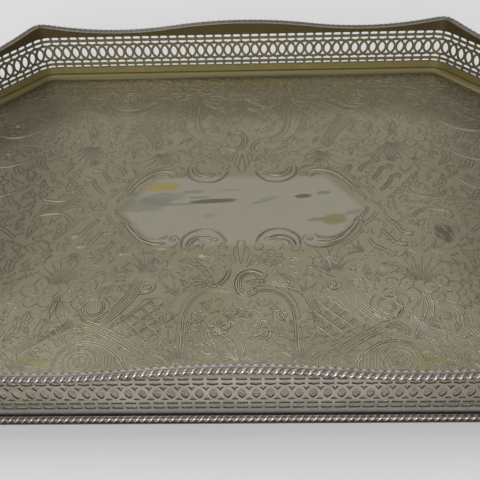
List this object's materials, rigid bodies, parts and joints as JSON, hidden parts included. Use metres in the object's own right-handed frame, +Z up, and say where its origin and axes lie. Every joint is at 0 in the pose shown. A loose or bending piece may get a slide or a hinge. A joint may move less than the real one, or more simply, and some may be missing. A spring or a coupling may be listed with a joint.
{
  "type": "gallery tray",
  "caption": "Eight-sided serving tray with a pierced gallery, rope-edged mounts, cut hand-holds and bun feet.",
  "frame": {"origin": "on the table, below the middle of the floor", "axes": "+X along the tray towards one hand-hold, +Y across it towards the back, +Z up"},
  "size_m": [0.5388, 0.3538, 0.0821],
  "materials": {
    "plate_floor": "tarnished silver plate, flat chased with scrolls and flowers round a plain reserve",
    "plate_gallery": "tarnished silver plate, pierced, darker inside below the rim",
    "plate_mounts": "polished silver plate with a rope twist, dark in the hollows",
    "plate_feet": "silver plate, lightly tarnished"
  },
  "bodies": {
    "root": {"floor": "plate_floor", "gallery_front": "plate_gallery", "gallery_corner_front_left": "plate_gallery", "gallery_end_left": "plate_gallery", "gallery_corner_back_left": "plate_gallery", "gallery_back": "plate_gallery", "gallery_corner_back_right": "plate_gallery", "gallery_end_right": "plate_gallery", "gallery_corner_front_right": "plate_gallery", "top_mount_front": "plate_mounts", "top_mount_corner_front_left": "plate_mounts", "top_mount_end_left": "plate_mounts", "top_mount_corner_back_left": "plate_mounts", "top_mount_back": "plate_mounts", "top_mount_corner_back_right": "plate_mounts", "top_mount_end_right": "plate_mounts", "top_mount_corner_front_right": "plate_mounts", "base_mount_front": "plate_mounts", "base_mount_corner_front_left": "plate_mounts", "base_mount_end_left": "plate_mounts", "base_mount_corner_back_left": "plate_mounts", "base_mount_back": "plate_mounts", "base_mount_corner_back_right": "plate_mounts", "base_mount_end_right": "plate_mounts", "base_mount_corner_front_right": "plate_mounts", "grip_rim_left": "plate_mounts", "grip_rim_right": "plate_mounts", "foot_front_left": "plate_feet", "foot_back_left": "plate_feet", "foot_back_right": "plate_feet", "foot_front_right": "plate_feet"}
  },
  "joints": []
}
